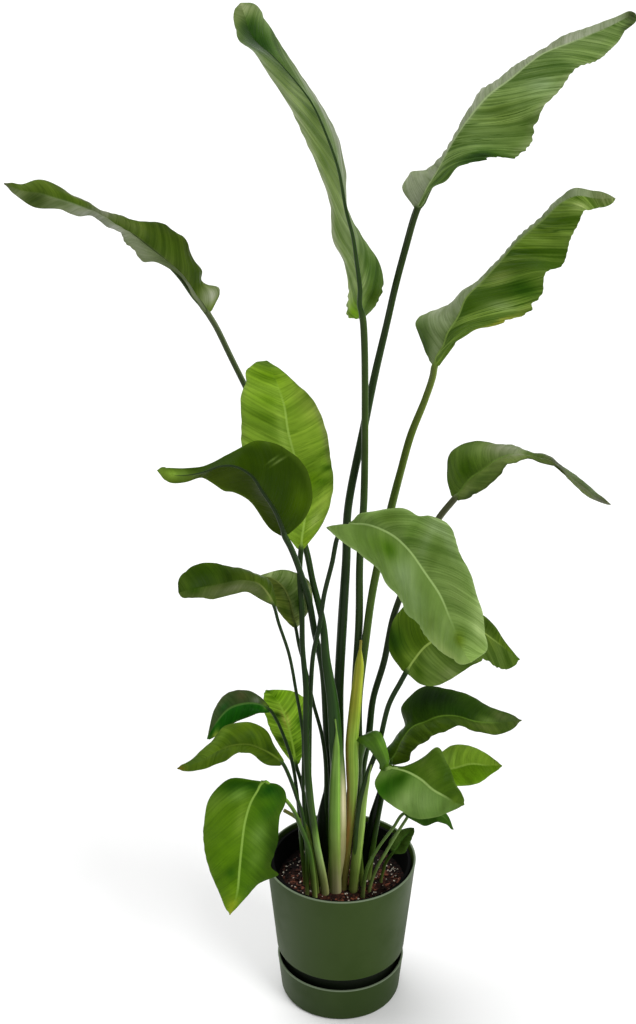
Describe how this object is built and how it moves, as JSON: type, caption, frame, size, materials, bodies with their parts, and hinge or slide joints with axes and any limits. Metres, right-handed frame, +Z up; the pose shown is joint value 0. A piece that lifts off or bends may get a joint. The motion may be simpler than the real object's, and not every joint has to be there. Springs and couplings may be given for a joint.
{
  "type": "potted bird of paradise plant",
  "caption": "Tall foliage plant with large waved paddle leaves on long stalks, in a tapered matt green pot that stands in its own round saucer.",
  "frame": {"origin": "centre of the saucer's flat underside, on the surface that the plant stands on", "axes": "+Z up along the pot's axis and the stalks; -Y is the front, seen in the picture; -X is its left"},
  "size_m": [0.8762, 0.4613, 1.6054],
  "materials": {
    "pot_plastic": "matt green moulded plastic",
    "saucer_plastic": "matt green moulded plastic",
    "liner_plastic": "thin black plastic",
    "soil": "dark crumbly soil with perlite and bark",
    "sheath": "smooth yellow-green leaf sheath",
    "leaf": "satin leaf with fine ribs across",
    "dark_leaf": "dark satin leaf with fine ribs across",
    "bright_leaf": "light satin leaf with fine ribs across"
  },
  "bodies": {
    "root": {"saucer": "saucer_plastic", "pot": "pot_plastic", "nursery_pot": "liner_plastic", "soil": "soil", "young_sheath": "sheath", "leaf_top": "leaf", "leaf_upper_right": "leaf", "leaf_right": "leaf", "leaf_far_left": "leaf", "leaf_front": "leaf", "leaf_behind_front": "leaf", "leaf_lower_right": "leaf", "leaf_hanging_left": "leaf", "leaf_arched_left": "leaf", "leaf_dark_left": "dark_leaf", "leaf_middle_left": "dark_leaf", "leaf_shaded_middle": "dark_leaf", "leaf_curled_right": "dark_leaf", "leaf_dark_right": "dark_leaf", "leaf_small_right": "dark_leaf", "leaf_tiny_right": "dark_leaf", "leaf_shaded_left": "dark_leaf", "leaf_bright_back": "bright_leaf", "leaf_pale_right": "bright_leaf", "leaf_bright_left": "bright_leaf"}
  },
  "joints": []
}
